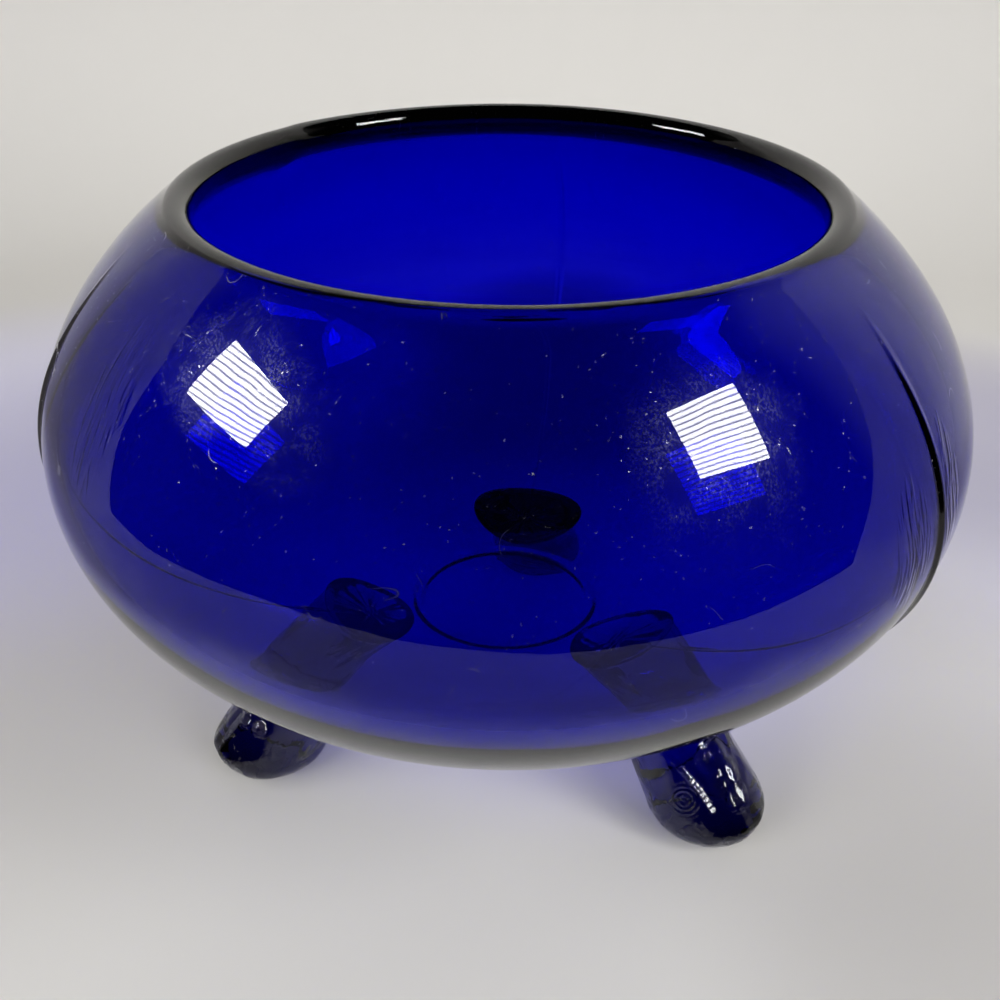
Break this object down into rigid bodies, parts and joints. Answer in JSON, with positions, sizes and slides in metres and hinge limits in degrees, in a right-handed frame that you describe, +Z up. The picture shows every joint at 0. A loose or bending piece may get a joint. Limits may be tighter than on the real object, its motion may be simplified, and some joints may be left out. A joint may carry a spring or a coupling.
{
  "type": "footed rose bowl",
  "caption": "Round-bellied cobalt glass rose bowl with an inturned mouth and rounded lip, standing on splayed toe feet.",
  "frame": {"origin": "on the surface it stands on, under the middle of the bowl", "axes": "+Z up through the middle of the mouth, +Y towards the rear foot, the front feet either side of -Y"},
  "size_m": [0.127, 0.1273, 0.0922],
  "materials": {
    "cobalt_glass_body": "fire-polished clear cobalt blue glass, smooth and glossy, with raised mould seams",
    "cobalt_glass_feet": "solid clear cobalt blue glass, glossy, near black where thick, with rippled toes"
  },
  "bodies": {
    "root": {"bowl": "cobalt_glass_body", "foot_rear": "cobalt_glass_feet", "foot_front_left": "cobalt_glass_feet", "foot_front_right": "cobalt_glass_feet"}
  },
  "joints": []
}
